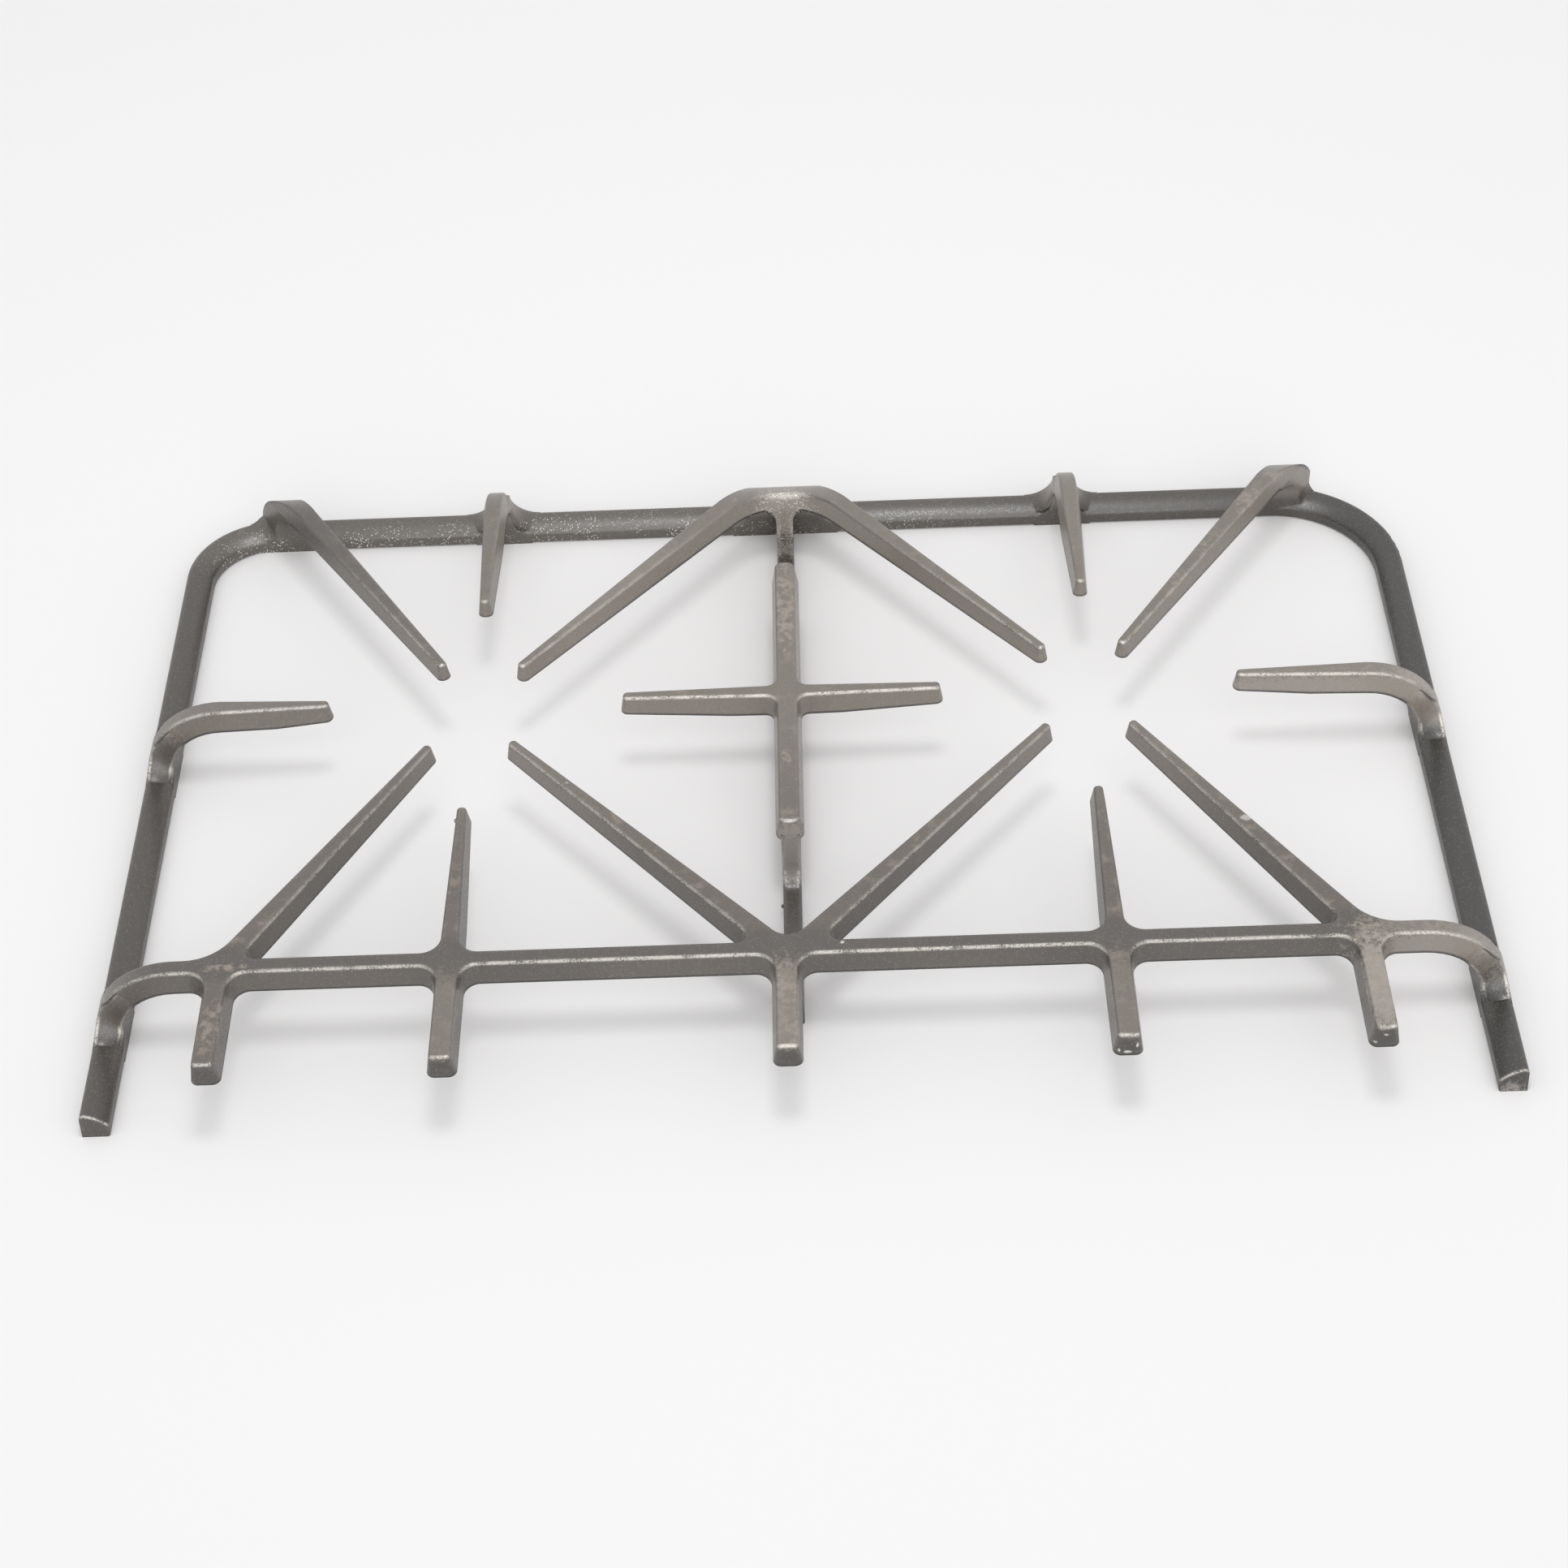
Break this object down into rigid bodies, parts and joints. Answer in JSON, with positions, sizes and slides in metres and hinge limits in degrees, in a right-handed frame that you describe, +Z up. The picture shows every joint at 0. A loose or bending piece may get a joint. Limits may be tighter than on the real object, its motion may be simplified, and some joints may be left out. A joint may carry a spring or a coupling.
{
  "type": "hob pan support",
  "caption": "One-piece cast pan support for a gas hob: a floor rail on three sides, elbows up to pan level and radial fingers around each burner.",
  "frame": {"origin": "centre of the footprint, on the floor that the rail stands on", "axes": "+X along the front bar to the right, +Y from the open front to the back rail, +Z up to the pan"},
  "size_m": [0.47, 0.301, 0.0345],
  "materials": {
    "casting": "matt black-grey enamel on cast iron, rubbed along the top edges"
  },
  "bodies": {
    "root": {"pan_support": "casting"}
  },
  "joints": []
}
